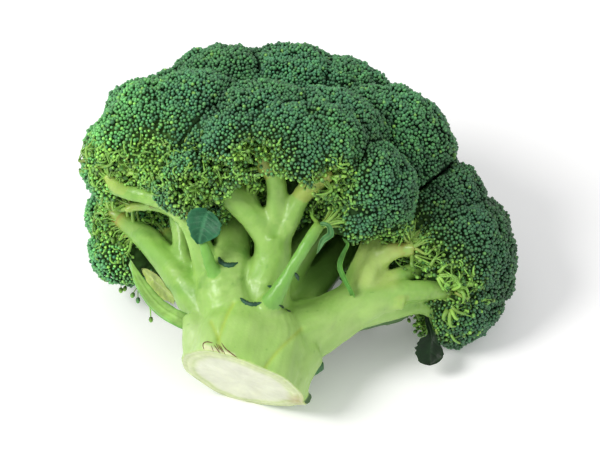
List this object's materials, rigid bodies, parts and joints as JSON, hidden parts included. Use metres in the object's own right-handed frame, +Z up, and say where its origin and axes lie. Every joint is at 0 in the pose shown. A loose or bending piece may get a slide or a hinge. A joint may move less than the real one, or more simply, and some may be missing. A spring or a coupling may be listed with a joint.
{
  "type": "broccoli head",
  "caption": "Fresh broccoli head lying on its side: a cut pale stalk that forks into branches, domed bud florets and small leaves.",
  "frame": {"origin": "middle of the footprint box, on the surface the head lies on", "axes": "+Z up from the surface, -Y towards the cut end of the stalk, +X to the right as seen from the cut end"},
  "size_m": [0.1734, 0.1528, 0.1082],
  "materials": {
    "flesh": "smooth, faintly waxy plant flesh, pale at the cut",
    "buds": "matte, close-packed flower buds",
    "leaf": "waxy leaf with a pale midrib"
  },
  "bodies": {
    "root": {"stalk": "flesh", "floret_front": "buds", "floret_front_left": "buds", "floret_front_right": "buds", "floret_left": "buds", "floret_lower_left": "buds", "floret_left_inner": "buds", "floret_top_left": "buds", "floret_top": "buds", "floret_right_upper": "buds", "floret_right": "buds", "floret_back_left": "buds", "floret_back": "buds", "floret_back_right": "buds", "leaf_hanging": "leaf", "leaf_left_bract": "flesh", "leaf_left_small": "leaf", "leaf_curled": "leaf", "leaf_side_tip": "leaf", "leaf_dark_right": "leaf"}
  },
  "joints": []
}
